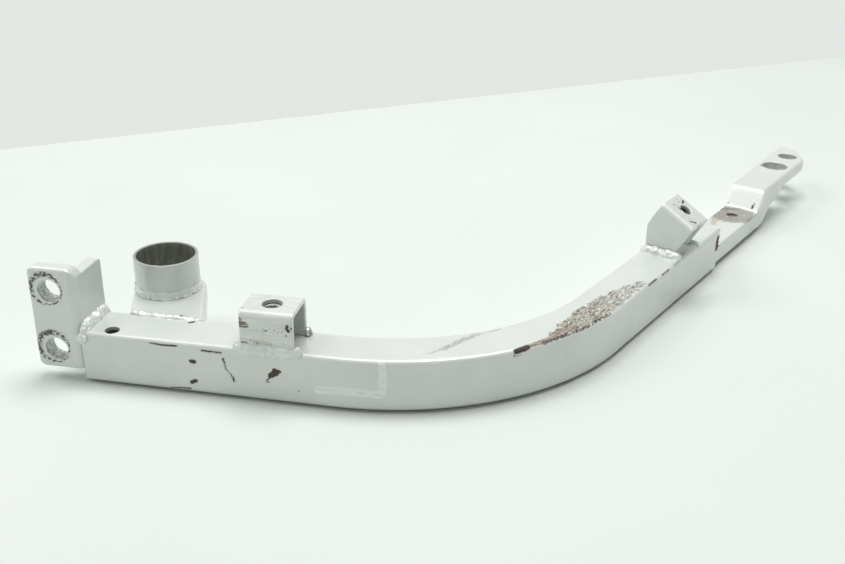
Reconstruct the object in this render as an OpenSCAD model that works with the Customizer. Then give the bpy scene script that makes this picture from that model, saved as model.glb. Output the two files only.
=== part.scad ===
// Bent subframe strut: a box tube with a bolted head lug, two nut brackets,
// a tab with a cross tube stub, and a forged arm at the far end.
// The origin lies midway between the head lug's two bolt holes, on the front face.

/* [Main tube] */
// Height of the box tube
tube_h = 26; // [22:0.5:34]
// Width of the box tube from front to back
tube_w = 24.3; // [23:0.1:32]
// Wall of the box tube
tube_wall = 1.6; // [1:0.1:2.5]
// Corner radius of the box tube
tube_corner_r = 2.2; // [1:0.1:4]
// Straight run from the head lug to the bend
near_len = 121.9; // [108:0.1:160]
// Bend radius at the front face
bend_r = 137.9; // [90:0.1:200]
// Angle of the bend
bend_angle = 65.55; // [30:0.05:85]
// Straight run after the bend
far_len = 131.8; // [112:0.1:170]
// Depth of the tube's underside below the head lug's centre
tube_drop = 30.7; // [27:0.1:36]
// Diameter of the small hole in the tube's top
top_hole_d = 7; // [4:0.5:9]
// Distance of the small hole from the tube's near end
top_hole_x = 13.8; // [8:0.1:20]
// Distance of the small hole from the front face
top_hole_y = 4.8; // [4:0.1:12]

/* [Head lug] */
// Distance between the two bolt holes
bolt_pitch = 30; // [26:0.5:32]
// Diameter of the bolt holes
bolt_hole_d = 11; // [8:0.1:12]
// Thickness of the bolted plate
plate_t = 8; // [6:0.1:10]
// Plate edge to the left of the bolt holes
plate_left = 10.2; // [9.5:0.1:14]
// Plate edge to the right of the bolt holes
plate_right = 13.2; // [12:0.1:18]
// Height of the plate's top above the lug's centre
plate_top = 26.6; // [24:0.1:32]
// Depth of the plate's bottom below the lug's centre
plate_bottom = 25.2; // [24:0.1:28]
// Corner radius of the plate's outline
plate_corner_r = 4; // [1:0.1:6]
// Radius of the soft fold between plate and flange
fold_r = 4; // [2:0.1:5]
// Thickness of the flange that the tube is welded to
flange_t = 6; // [4:0.1:8]
// Depth of the flange from the front face
flange_depth = 28.3; // [27:0.1:34]
// Height of the flange's top above the lug's centre
flange_top = 22.3; // [18:0.1:23]
// Rounding of the casting's edges
cast_edge_r = 2.4; // [1:0.1:2.8]
// Length of the spigot inside the tube
spigot_len = 10; // [6:0.5:12]

/* [Cross tube stub] */
// Outside diameter of the stub
stub_d = 32.4; // [28:0.1:36]
// Wall of the stub
stub_wall = 1.6; // [1:0.1:2.5]
// Height of the stub above its tab
stub_h = 18.4; // [12:0.1:30]
// Distance of the stub's axis from the tube's near end
stub_x = 20; // [18:0.1:26]
// Distance of the stub's axis from the front face
stub_y = 55.9; // [52:0.1:64]
// Thickness of the pressed tab
tab_sheet = 2.5; // [1.5:0.1:3.5]
// Margin of the tab round the stub
tab_margin = 2; // [1.5:0.1:4]
// Offset of the tab's round end towards the bend
tab_shift = 1; // [0:0.1:1.3]
// Left edge of the tab at the tube, from the tube's near end
tab_left = 13.1; // [11:0.1:16]
// Right edge of the tab at the tube, from the tube's near end
tab_right = 51.8; // [46:0.1:60]
// Depth of the tab's turned down rim
tab_rim = 8.6; // [5:0.1:12]
// Rounding of the tab's pressed edge
tab_edge_r = 2.4; // [1:0.1:3]

/* [U bracket] */
// Distance of the bracket's near side from the tube's near end
u_x = 78.9; // [70:0.1:84]
// Width of the bracket along the tube
u_w = 25.2; // [18:0.1:30]
// Depth of the bracket from front to back
u_depth = 21.4; // [19:0.1:22]
// Amount that the front flange stands proud of the tube
u_proud = 0.5; // [0:0.1:1]
// Height of the bracket above the tube
u_h = 19.5; // [14:0.1:30]
// Sheet thickness of the two nut brackets
sheet_t = 2.3; // [1.5:0.1:3]
// Outside bend radius of the two nut brackets
sheet_bend_r = 3.2; // [2.5:0.1:5]
// Hole in the bracket's top
u_hole_d = 9.5; // [8.5:0.1:11]
// Size of the thread's bore in the weld nut
u_thread_d = 6.8; // [6:0.1:7.5]
// Width of the weld nut across its flats
u_nut_af = 13; // [11:0.5:14]
// Height of the weld nut
u_nut_h = 6.5; // [4:0.1:8]

/* [Angled bracket] */
// Distance of the bracket's near side from the end of the bend
ang_s = 76.5; // [66:0.1:84]
// Width of the bracket along the tube
ang_w = 23; // [18:0.1:26]
// Slope of the bracket's top
ang_slope = 29.7; // [15:0.1:40]
// Length of the sloping top
ang_len = 22; // [19:0.1:26]
// Distance of the top's upper edge from the front face
ang_top_q = 15; // [12:0.1:17]
// Height of the top's upper edge above the tube
ang_top_h = 28.5; // [25:0.1:34]
// Depth of the square part of the flanges' back edge
ang_back = 11.8; // [9:0.1:13]
// Height at which the flanges' front edge starts to lean out
ang_lean_h = 8; // [4:0.1:10]
// Distance of the flanges' foot from the tube's back face
ang_back_in = 1.8; // [1:0.1:4]
// Height over which the flanges' back edge leans in to its foot
ang_back_ease = 3.7; // [2:0.1:5]
// Rounding of the flanges' outline
ang_flange_r = 2; // [0.5:0.1:2.5]
// Hole in the sloping top
ang_hole_d = 7; // [6:0.1:8]
// Distance of the hole down the slope from the upper edge
ang_hole_down = 10.3; // [9:0.1:12]
// Distance of the hole from the bracket's near side
ang_hole_s = 12.8; // [10:0.1:13]
// Size of the thread's bore in the small weld nut
ang_thread_d = 5; // [4.2:0.1:5.6]
// Width of the small weld nut across its flats
ang_nut_af = 10; // [8:0.5:11]
// Height of the small weld nut
ang_nut_h = 5; // [3:0.1:6]

/* [End lug] */
// Width of the forged block
block_w = 21.9; // [19:0.1:22.5]
// Distance of the block's front side from the tube's front face
block_q = 1.3; // [0.9:0.1:2]
// Height of the block's underside above the tube's underside
block_z = 1.1; // [1:0.1:2]
// Height of the block's flat top above the tube's underside
block_top = 13.5; // [10:0.1:16]
// Distance from the tube's end to the foot of the step
step_s = 71.7; // [60:0.1:90]
// Length of the step's ramp
step_len = 9; // [6:0.1:14]
// Length of the whole lug past the tube's end
lug_len = 182.9; // [165:0.1:220]
// Length over which the underside climbs from the block to the arm
neck_len = 38; // [32:0.5:42]
// Length of the arm's rounded tip
tip_len = 22; // [18:0.5:26]
// Distance of the arm's flat top below the tube's top
arm_drop = 0; // [-2:0.1:4]
// Thickness of the arm
arm_t = 7.4; // [6:0.1:9]
// Extra width of the arm's back edge near its tip
arm_flare = 2.4; // [0:0.1:4]
// Diameter of the large hole in the arm
big_hole_d = 16.5; // [12:0.1:18]
// Diameter of the second hole in the arm
small_hole_d = 12.5; // [9:0.1:14]
// Distance of the second hole from the arm's tip
tip_hole_in = 20.7; // [14:0.1:24]
// Distance between the two holes in the arm
arm_pitch = 26.5; // [24:0.1:30]
// Diameter of the hole in the block's flat
flat_hole_d = 6.6; // [5:0.1:9]
// Distance of the hole in the flat from the tube's end
flat_hole_s = 59.7; // [40:0.1:62]
// Distance of the three holes' line from the tube's front face
hole_line_q = 13.7; // [12:0.1:15]
// Rounding of the forging's edges
forged_edge_r = 2.2; // [1:0.1:3]
// Thickness of the shoulder that closes the tube's end
shoulder_t = 2.6; // [1.5:0.1:4]

/* [Welds] */
// Leg of the large fillet welds
weld_leg = 4.6; // [3:0.1:6]
// Leg of the small fillet welds
small_leg = 3.2; // [2:0.1:4]
// Spacing of the ripples along a weld
weld_pitch = 3.6; // [2.5:0.1:6]

/* [Fits] */
// Clearance of a spigot inside the tube, each side
spigot_gap = 0.2; // [0.05:0.05:0.5]
// Clearance that keeps a weld's knob off the side of its bracket
knob_gap = 0.05; // [0.01:0.01:0.2]

/* [Hidden] */
$fn = 64;
// Overlap that lets a cutter pass through a face
cut = 1;
// Small set-back of the end lug's guide points from its edges
edge_in = 1;
// Largest angle between neighbouring sections of the bend, and between points of the tube's corners
bend_step = 1.7;
tube_arc_step = 18;
bend_x = plate_right + near_len;
arm_top = tube_h - arm_drop;
small_hole_s = lug_len - tip_hole_in;
big_hole_s = small_hole_s - arm_pitch;
tube_in_w = tube_w - 2 * tube_wall;
tube_in_h = tube_h - 2 * tube_wall;
// Smallest radius on the inside of a bent or drawn corner
inner_r = 0.4;
tube_in_r = max(tube_corner_r - tube_wall, inner_r);
// Share of its leg by which a weld's drops are sunk, and how much their sizes vary
sink = 0.25;
ripple = 0.05;
ripple_turn = 137;
// Paint colours
frame_paint = [0.76, 0.79, 0.76];
bare_weld = [0.7, 0.7, 0.68];
dark_steel = [0.32, 0.31, 0.27];

// Points of an outline whose corners [x, y, radius] are rounded by arcs
function rounded(points, step = 11) =
    let (n = len(points))
    [for (i = [0 : n - 1])
        let (
            a = flat_point(points[(i + n - 1) % n]),
            b = points[i],
            c = flat_point(points[(i + 1) % n])
        )
        each (b[2] > 0 ? corner_arc(a, flat_point(b), c, b[2], step) : [flat_point(b)])];
function flat_point(p) = [p[0], p[1]];
// Arc of radius r at most, between the sides from b to a and from b to c
function corner_arc(a, b, c, r, step) =
    let (
        u = (a - b) / norm(a - b),
        v = (c - b) / norm(c - b),
        half = acos(max(-1, min(1, u * v))) / 2,
        reach = 0.48 * min(norm(a - b), norm(c - b)),
        arc_r = min(r, reach * tan(half)),
        centre = b + (u + v) / norm(u + v) * arc_r / sin(half),
        start = b + u * arc_r / tan(half) - centre,
        finish = b + v * arc_r / tan(half) - centre,
        sweep = 180 - 2 * half,
        steps = max(1, ceil(sweep / step)),
        turn = sign(start[0] * finish[1] - start[1] * finish[0])
    )
    [for (i = [0 : steps])
        let (t = turn * sweep * i / steps)
        centre + [start[0] * cos(t) - start[1] * sin(t), start[0] * sin(t) + start[1] * cos(t)]];

// Frame of the first straight run: x along the tube, y to the back, z up from its underside
module near_run() {
    translate([plate_right, 0, -tube_drop]) children();
}

// Frame of the second straight run, in the same way
module far_run() {
    translate([bend_x, bend_r, -tube_drop])
        rotate([0, 0, bend_angle])
            translate([0, -bend_r, 0])
                children();
}

// Flat outline in y and z, drawn out along x
module along_x(length) {
    rotate([90, 0, 90]) linear_extrude(length) children();
}

// Flat outline in x and z, drawn out along y
module along_y(length) {
    translate([0, length, 0]) rotate([90, 0, 0]) linear_extrude(length) children();
}

module round_rect(w, h, r) {
    translate([r, 0]) square([w - 2 * r, h]);
    translate([0, r]) square([w, h - 2 * r]);
    for (x = [r, w - r], y = [r, h - r]) {
        translate([x, y]) circle(r);
    }
}

// Solid straight length of the tube's outer form
module tube_bar(length) {
    along_x(length) round_rect(tube_w, tube_h, tube_corner_r);
}

// Section of the tube in y and z, shrunk by the inset
function tube_outline(inset, r) =
    rounded([
        [inset, inset, r],
        [tube_w - inset, inset, r],
        [tube_w - inset, tube_h - inset, r],
        [inset, tube_h - inset, r]
    ], tube_arc_step);

// Place of a section point [y, z] at an angle of the bend, moved along the tube
function tube_point(angle, along, p) = [
    bend_x + (bend_r - p[0]) * sin(angle) + along * cos(angle),
    bend_r - (bend_r - p[0]) * cos(angle) + along * sin(angle),
    p[1] - tube_drop
];

// Section swept along the near run, the bend and the far run, lengthened at both ends
module tube_sweep(inset, r, extra) {
    section = tube_outline(inset, r);
    sides = len(section);
    steps = ceil(bend_angle / bend_step);
    stations = concat(
        [[0, -near_len - extra]],
        [for (i = [0 : steps]) [bend_angle * i / steps, 0]],
        [[bend_angle, far_len + extra]]
    );
    last = len(stations) - 1;
    points = [for (s = stations, p = section) tube_point(s[0], s[1], p)];
    walls = [for (i = [0 : last - 1], j = [0 : sides - 1])
        [i * sides + j, (i + 1) * sides + j, (i + 1) * sides + (j + 1) % sides, i * sides + (j + 1) % sides]];
    near_end = [for (j = [0 : sides - 1]) j];
    far_end = [for (j = [sides - 1 : -1 : 0]) last * sides + j];
    polyhedron(points, concat(walls, [near_end, far_end]));
}

module main_tube() {
    color(frame_paint)
    difference() {
        tube_sweep(0, tube_corner_r, 0);
        tube_sweep(tube_wall, tube_in_r, cut);
        near_run()
            translate([top_hole_x, top_hole_y, tube_h - tube_wall - cut])
                cylinder(d = top_hole_d, h = tube_wall + 2 * cut);
    }
}

// Block that fills the tube's bore apart from the clearance
module spigot(length) {
    translate([0, tube_wall + spigot_gap, tube_wall + spigot_gap])
        cube([length, tube_in_w - 2 * spigot_gap, tube_in_h - 2 * spigot_gap]);
}

// Angle shaped casting before its holes are drilled
module lug_body() {
    low = -plate_bottom;
    lug_h = plate_top + plate_bottom;
    soft = cast_edge_r / 2;
    intersection() {
        translate([0, 0, low])
            linear_extrude(lug_h)
                polygon(rounded([
                    [-plate_left, 0, soft],
                    [plate_right, 0, fold_r],
                    [plate_right, flange_depth, cast_edge_r],
                    [plate_right - flange_t, flange_depth, cast_edge_r],
                    [plate_right - flange_t, plate_t, cast_edge_r],
                    [-plate_left, plate_t, soft]
                ]));
        union() {
            intersection() {
                along_y(plate_t)
                    polygon(rounded([
                        [-plate_left, low, plate_corner_r],
                        [plate_right, low, soft],
                        [plate_right, plate_top, plate_corner_r + cast_edge_r],
                        [-plate_left, plate_top, plate_corner_r]
                    ]));
                translate([-plate_left, 0, 0])
                    along_x(plate_left + plate_right)
                        polygon(rounded([
                            [0, low, soft],
                            [plate_t, low, soft],
                            [plate_t, plate_top, cast_edge_r],
                            [0, plate_top, cast_edge_r]
                        ]));
            }
            translate([plate_right - flange_t - cast_edge_r, 0, 0])
                along_x(flange_t + cast_edge_r)
                    polygon(rounded([
                        [cast_edge_r, low, 0],
                        [flange_depth, low, cast_edge_r],
                        [flange_depth, flange_top, 2 * cast_edge_r],
                        [cast_edge_r, flange_top, 0]
                    ]));
        }
    }
}

module head_lug() {
    color(frame_paint)
    difference() {
        union() {
            lug_body();
            near_run() spigot(spigot_len);
        }
        for (z = [-bolt_pitch / 2, bolt_pitch / 2]) {
            translate([0, -cut, z])
                rotate([-90, 0, 0])
                    cylinder(d = bolt_hole_d, h = plate_t + 2 * cut);
        }
    }
}

// Row of overlapping drops from a to b, whose sizes vary along the row
module drops(a, b, r) {
    count = max(1, round(norm(b - a) / weld_pitch));
    for (i = [0 : count]) {
        translate(a + (b - a) * i / count)
            sphere(r * (1 + ripple * sin(ripple_turn * i)));
    }
}

// Radius of a drop that gives a fillet of this leg when it is sunk by that share of the leg
function drop_r(leg) = norm([(1 + sink) * leg, sink * leg]);

module head_weld() {
    sunk = sink * weld_leg;
    blob_r = small_leg;
    color(bare_weld)
    difference() {
        near_run() {
            intersection() {
                translate([0, -sink * small_leg, tube_h - tube_corner_r])
                    cube([2 * weld_leg, flange_depth, 3 * weld_leg]);
                drops(
                    [-sunk, weld_leg, tube_h - sunk],
                    [-sunk, tube_w - weld_leg / 2, tube_h - sunk],
                    drop_r(weld_leg)
                );
            }
            translate([sink * blob_r, sink * blob_r, tube_h - blob_r]) sphere(blob_r);
        }
        near_run() tube_bar(near_len);
        lug_body();
    }
}

module head_back_weld() {
    sunk = sink * small_leg;
    back_z = tube_drop - plate_bottom + 2 * small_leg;
    color(bare_weld)
    difference() {
        near_run()
            intersection() {
                translate([0, tube_w, 0])
                    cube([2 * weld_leg, flange_depth - tube_w, tube_h - tube_corner_r]);
                drops(
                    [-sunk, tube_w - sunk, back_z],
                    [-sunk, tube_w - sunk, tube_h - small_leg],
                    drop_r(small_leg)
                );
            }
        lug_body();
    }
}

// Round end of the tab: its radius, and the angles where its straight sides touch it
tab_end = [stub_x + tab_shift, stub_y];
tab_end_r = stub_d / 2 + tab_margin;
function touch_angle(foot_x, side) =
    let (foot = [foot_x, tube_w] - tab_end)
    atan2(foot[1], foot[0]) + side * acos(tab_end_r / norm(foot));
right_touch = touch_angle(tab_right, 1);
left_touch = touch_angle(tab_left, -1) + 360;

// Section of the tab's pressed edge, drawn at the round end's radius
module tab_edge_section() {
    flat_w = tab_edge_r + 2 * tab_sheet;
    translate([tab_end_r, 0])
        polygon(rounded([
            [-flat_w, 0, 0],
            [0, 0, tab_edge_r],
            [0, -tab_rim, 0],
            [-tab_sheet, -tab_rim, 0],
            [-tab_sheet, -tab_sheet, inner_r],
            [-flat_w, -tab_sheet, 0]
        ]));
}

// Foot of a straight side moved inwards, on the tube's back
function inner_foot(foot_x, angle, inset) = [foot_x - inset / cos(angle), tube_w];

module stub_tab() {
    side_len = norm([tab_right, tube_w] - tab_end) + tab_rim;
    inset = tab_edge_r + tab_sheet;
    steps = 24;
    color(frame_paint)
    near_run()
        translate([0, 0, tube_h])
            difference() {
                union() {
                    translate([tab_end[0], tab_end[1], 0]) {
                        rotate([0, 0, right_touch])
                            rotate_extrude(angle = left_touch - right_touch) tab_edge_section();
                        rotate([0, 0, right_touch])
                            rotate([90, 0, 0])
                                linear_extrude(side_len) tab_edge_section();
                        rotate([0, 0, left_touch])
                            translate([0, side_len, 0])
                                rotate([90, 0, 0])
                                    linear_extrude(side_len) tab_edge_section();
                    }
                    translate([0, 0, -tab_sheet])
                        linear_extrude(tab_sheet)
                            polygon(concat(
                                [
                                    inner_foot(tab_left, left_touch, inset),
                                    inner_foot(tab_right, right_touch, inset)
                                ],
                                [for (i = [0 : steps])
                                    let (t = right_touch + (left_touch - right_touch) * i / steps)
                                    tab_end + (tab_end_r - inset) * [cos(t), sin(t)]]
                            ));
                }
                translate([-tube_w, -tube_w, -2 * tube_h])
                    cube([4 * tube_w, 2 * tube_w, 3 * tube_h]);
            }
}

module cross_tube_stub() {
    color(dark_steel)
    near_run()
        translate([stub_x, stub_y, tube_h])
            difference() {
                cylinder(d = stub_d, h = stub_h);
                translate([0, 0, -cut])
                    cylinder(d = stub_d - 2 * stub_wall, h = stub_h + 2 * cut);
            }
}

// Two passes of weld round the stub's foot
module stub_weld() {
    count = round(PI * stub_d / weld_pitch);
    low_r = 0.85 * small_leg;
    low_out = 0.2 * small_leg;
    top_r = 0.75 * small_leg;
    top_up = 1.15 * small_leg;
    color(bare_weld)
    near_run()
        translate([stub_x, stub_y, tube_h])
            difference() {
                intersection() {
                    cylinder(d = stub_d + 6 * small_leg, h = stub_h / 2);
                    union() {
                        for (i = [0 : count - 1]) {
                            rotate([0, 0, 360 * i / count])
                                translate([stub_d / 2 + low_out, 0, sink * small_leg])
                                    sphere(low_r * (1 + ripple * sin(ripple_turn * i)));
                        }
                        rotate_extrude()
                            translate([stub_d / 2, top_up]) circle(top_r);
                    }
                }
                translate([0, 0, -cut]) cylinder(d = stub_d, h = stub_h + 2 * cut);
            }
}

module tab_weld() {
    seat = [0, tube_w - tube_corner_r / 3, tube_h - small_leg / 3];
    first = tab_left + small_leg;
    last = tab_right - small_leg;
    bead_r = 0.9 * small_leg;
    color(bare_weld)
    difference() {
        near_run()
            intersection() {
                drops(seat + [first, 0, 0], seat + [last, 0, 0], bead_r);
                translate([tab_left, tube_w - 2 * small_leg, tube_h - tube_corner_r])
                    cube([tab_right - tab_left, 4 * small_leg, 3 * small_leg]);
            }
        near_run() tube_bar(near_len);
        near_run() translate([0, tube_w, -cut]) cube([near_len, tube_w, tube_h + cut]);
    }
}

// Outline of a folded channel, open below, from its left side at x = 0
module channel_section(w, depth) {
    difference() {
        polygon(rounded([
            [0, -depth, 0],
            [0, 0, sheet_bend_r],
            [w, 0, sheet_bend_r],
            [w, -depth, 0]
        ]));
        polygon(rounded([
            [sheet_t, -depth - cut, 0],
            [sheet_t, -sheet_t, sheet_bend_r - sheet_t],
            [w - sheet_t, -sheet_t, sheet_bend_r - sheet_t],
            [w - sheet_t, -depth - cut, 0]
        ]));
    }
}

module weld_nut(af, h, bore_d) {
    difference() {
        cylinder(d = af / cos(30), h = h, $fn = 6);
        translate([0, 0, -cut]) cylinder(d = bore_d, h = h + 2 * cut);
    }
}

// Frame of the U bracket: x along the tube from its near side, y back from its front, z down from its top
module u_place() {
    near_run() translate([u_x, -u_proud, tube_h + u_h]) children();
}

module u_bracket() {
    color(frame_paint)
    u_place()
        difference() {
            along_x(u_w) channel_section(u_depth, u_h);
            translate([u_w / 2, u_depth / 2, -sheet_t - cut])
                cylinder(d = u_hole_d, h = sheet_t + 2 * cut);
        }
}

module u_bracket_nut() {
    color(dark_steel)
    u_place()
        translate([u_w / 2, u_depth / 2, -sheet_t - u_nut_h])
            weld_nut(u_nut_af, u_nut_h, u_thread_d);
}

module u_front_weld() {
    bead_r = 1.6 * small_leg;
    seat_y = bead_r / 2;
    color(bare_weld)
    difference() {
        intersection() {
            near_run()
                drops([u_x, seat_y, tube_h], [u_x + u_w, seat_y, tube_h], bead_r);
            near_run()
                translate([0, -bead_r, 0])
                    cube([near_len, bead_r + tube_corner_r / 2, 2 * tube_h]);
        }
        near_run() tube_bar(near_len);
        u_place() translate([0, 0, -u_h]) cube([u_w, u_depth, u_h]);
    }
}

module u_rear_weld() {
    back_y = u_depth - u_proud;
    sunk = sink * small_leg;
    knob_r = 0.9 * small_leg;
    bead_leg = 0.8 * small_leg;
    color(bare_weld)
    difference() {
        near_run() {
            intersection() {
                translate([u_x, back_y, tube_h - tube_corner_r]) cube([u_w, tube_w, tube_h]);
                drops(
                    [u_x + small_leg, back_y - sunk, tube_h - sunk],
                    [u_x + u_w - small_leg, back_y - sunk, tube_h - sunk],
                    drop_r(bead_leg)
                );
            }
            translate([u_x + u_w, back_y - sunk, tube_h + sunk]) sphere(knob_r);
        }
        near_run() tube_bar(near_len);
        u_place()
            translate([-knob_gap, 0, -u_h])
                cube([u_w + 2 * knob_gap, u_depth, u_h]);
    }
}

// Frame of the sloping top: x along the tube, y up the slope, z square out of the top
module slope_place() {
    far_run()
        translate([ang_s, ang_top_q, tube_h + ang_top_h])
            rotate([ang_slope, 0, 0])
                children();
}

// Side view of the sloping bracket, in y and z of the far run
function slope_point(up, out) = [
    ang_top_q + up * cos(ang_slope) - out * sin(ang_slope),
    tube_h + ang_top_h + up * sin(ang_slope) + out * cos(ang_slope)
];
function soft_corner(p, r) = [p[0], p[1], r];

module angled_outline() {
    back_q = tube_w - ang_back_in;
    back_corner = slope_point(0, -ang_back);
    polygon(rounded([
        [0, tube_h, 0],
        [0, tube_h + ang_lean_h, ang_flange_r],
        soft_corner(slope_point(-ang_len, -sheet_t), 0),
        soft_corner(slope_point(-ang_len, 0), 0),
        soft_corner(slope_point(0, 0), 0),
        soft_corner(back_corner, ang_flange_r),
        [back_q, back_corner[1] - ang_back_ease, ang_flange_r],
        [back_q, tube_h, 0]
    ]));
}

module angled_bracket() {
    deep = ang_top_h + ang_len;
    color(frame_paint)
    difference() {
        intersection() {
            slope_place()
                translate([0, -ang_len, 0])
                    along_y(ang_len + deep)
                        channel_section(ang_w, 2 * deep);
            far_run() translate([ang_s, 0, 0]) along_x(ang_w) angled_outline();
        }
        slope_place()
            translate([ang_hole_s, -ang_hole_down, -sheet_t - cut])
                cylinder(d = ang_hole_d, h = sheet_t + 2 * cut);
    }
}

module angled_bracket_nut() {
    color(dark_steel)
    slope_place()
        translate([ang_hole_s, -ang_hole_down, -sheet_t - ang_nut_h])
            weld_nut(ang_nut_af, ang_nut_h, ang_thread_d);
}

// Fillet along a bracket's foot, across the tube; side -1 is the near foot, 1 the far foot
module foot_weld(s, side, leg) {
    sunk = sink * leg;
    low = leg;
    high = tube_w - leg;
    color(bare_weld)
    difference() {
        far_run()
            intersection() {
                translate([side < 0 ? s - 3 * leg : s, 0, tube_h - tube_corner_r])
                    cube([3 * leg, tube_w, 3 * leg]);
                drops(
                    [s - side * sunk, low, tube_h - sunk],
                    [s - side * sunk, high, tube_h - sunk],
                    drop_r(leg)
                );
            }
        far_run() tube_bar(far_len);
    }
}

module angled_near_weld() {
    foot_weld(ang_s, -1, weld_leg);
}

module angled_far_weld() {
    foot_weld(ang_s + ang_w, 1, small_leg);
}

// Frame of the end lug: x from the tube's end, y back, z up from the tube's underside
module lug_place() {
    far_run() translate([far_len, 0, 0]) children();
}

// Plan of the whole lug
module lug_plan() {
    back = block_q + block_w;
    tip_q = back + arm_flare;
    nose = 0.18 * tip_len;
    corner_r = 0.15 * tip_len;
    side_r = 0.5 * tip_len;
    linear_extrude(2 * tube_h)
        polygon(rounded([
            [0, block_q, 0],
            [lug_len - tip_len, block_q, side_r],
            [lug_len - nose, hole_line_q - edge_in, side_r],
            [lug_len, tip_q - edge_in, corner_r],
            [lug_len - side_r, tip_q, 2 * side_r],
            [step_s + step_len, back, 2 * side_r],
            [0, back, 0]
        ]));
}

// Side view of the lug: a block, a step up, and a thinner arm
module lug_side() {
    arm_low = arm_top - arm_t;
    neck_s = step_s + step_len;
    belly = 0.42 * neck_len;
    shelf = 0.79 * neck_len;
    ease_r = 0.25 * neck_len;
    bend_in_r = 0.6 * step_len;
    polygon(rounded([
        [0, block_z, 0],
        [neck_s + edge_in, block_z, ease_r],
        [neck_s + belly, block_top - 2 * edge_in, ease_r],
        [neck_s + shelf, block_top, ease_r],
        [neck_s + neck_len, arm_low, bend_in_r],
        [lug_len + cut, arm_low, 0],
        [lug_len + cut, arm_top, 0],
        [neck_s, arm_top, bend_in_r],
        [step_s, block_top, bend_in_r],
        [0, block_top, 0]
    ]));
}

// Section that rounds the lug's long edges
module lug_section() {
    back = block_q + block_w + arm_flare + edge_in;
    polygon(rounded([
        [block_q, block_z, forged_edge_r],
        [back, block_z, forged_edge_r],
        [back, arm_top, forged_edge_r],
        [block_q, arm_top, forged_edge_r]
    ]));
}

module end_lug() {
    color(frame_paint)
    lug_place()
        difference() {
            union() {
                intersection() {
                    along_y(2 * tube_w) lug_side();
                    lug_plan();
                    along_x(lug_len + cut) lug_section();
                }
                translate([0, tube_wall, tube_wall]) cube([shoulder_t, tube_in_w, tube_in_h]);
                translate([-spigot_len, 0, 0]) spigot(spigot_len + cut);
            }
            for (hole = [
                [big_hole_s, big_hole_d],
                [small_hole_s, small_hole_d],
                [flat_hole_s, flat_hole_d]
            ]) {
                translate([hole[0], hole_line_q, -cut]) cylinder(d = hole[1], h = 2 * tube_h);
            }
        }
}

// Bead round the tube's end, seated on its edge and on the lug's shoulder
module end_weld() {
    r = small_leg / 2;
    drop = 1.2 * r;
    front = tube_wall;
    back = tube_w - tube_wall;
    top = tube_h - tube_wall;
    low = block_top;
    color(bare_weld)
    lug_place()
        difference() {
            intersection() {
                cube([tube_w, tube_w, tube_h]);
                union() {
                    translate([0, front, low]) cylinder(r = r, h = top - low);
                    translate([0, back, low]) cylinder(r = r, h = top - low);
                    translate([0, front, top]) rotate([-90, 0, 0]) cylinder(r = r, h = back - front);
                    drops([0, front, low], [0, front, top], drop);
                    drops([0, back, low], [0, back, top], drop);
                    drops([0, front, top], [0, back, top], drop);
                }
            }
            translate([-cut, tube_wall, tube_wall]) cube([shoulder_t + cut, tube_in_w, tube_in_h]);
            translate([-cut, 0, 0]) cube([tube_w, tube_w, block_top]);
        }
}

main_tube();
head_lug();
head_weld();
head_back_weld();
stub_tab();
cross_tube_stub();
stub_weld();
tab_weld();
u_bracket();
u_bracket_nut();
u_front_weld();
u_rear_weld();
angled_bracket();
angled_bracket_nut();
angled_near_weld();
angled_far_weld();
end_lug();
end_weld();
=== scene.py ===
import math

import bmesh
import bpy
import numpy as np
from mathutils import Matrix, Vector, noise


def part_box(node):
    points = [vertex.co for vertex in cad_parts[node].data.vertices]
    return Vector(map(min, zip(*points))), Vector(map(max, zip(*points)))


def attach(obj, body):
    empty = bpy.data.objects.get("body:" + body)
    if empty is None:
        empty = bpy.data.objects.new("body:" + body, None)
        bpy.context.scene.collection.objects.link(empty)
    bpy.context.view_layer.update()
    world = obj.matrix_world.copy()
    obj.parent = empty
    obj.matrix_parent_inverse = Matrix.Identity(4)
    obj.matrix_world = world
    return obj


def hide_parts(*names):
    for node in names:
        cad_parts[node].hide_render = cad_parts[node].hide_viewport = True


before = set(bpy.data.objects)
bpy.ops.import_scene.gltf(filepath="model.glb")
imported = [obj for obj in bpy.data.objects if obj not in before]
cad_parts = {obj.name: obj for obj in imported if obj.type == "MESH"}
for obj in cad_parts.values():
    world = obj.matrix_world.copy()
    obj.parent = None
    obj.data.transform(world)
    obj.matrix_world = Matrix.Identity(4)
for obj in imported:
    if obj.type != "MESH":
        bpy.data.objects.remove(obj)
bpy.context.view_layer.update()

# All lengths below are in millimetres of the part's frame; MM turns them into metres.
MM = 0.001
TUBE_H = 26.0
TUBE_W = 24.3
TUBE_WALL = 1.6
TUBE_CORNER = 2.2
TUBE_START = 13.2
BEND_X = 135.1
BEND_R = 137.9
BEND_TURN = math.radians(65.55)
FAR_LEN = 131.8
FLOOR_Z = -30.7
STAGE_GAP = 1.1
TUBE_TOP = FLOOR_Z + TUBE_H
TOP_HOLE = (27.0, 4.8)
TOP_HOLE_R = 3.5
BOLT_Z = 15.0
STUB_AXIS = (33.2, 55.9)
STUB_R = 16.2
STUB_WALL = 1.6
STUB_H = 18.4
U_NUT = (104.7, 10.2, 12.5)
FLAT_HOLE_S = 191.5
HOLE_LINE_Q = 13.7
RAMP_S = 207.5
RUN = (math.cos(BEND_TURN), math.sin(BEND_TURN), 0.0)
ACROSS = (-math.sin(BEND_TURN), math.cos(BEND_TURN), 0.0)
FAR_BASE = (BEND_X + BEND_R * math.sin(BEND_TURN), BEND_R * (1 - math.cos(BEND_TURN)), FLOOR_Z)

FAR_RAMP = FAR_BASE[0] * RUN[0] + FAR_BASE[1] * RUN[1] + RAMP_S


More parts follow.
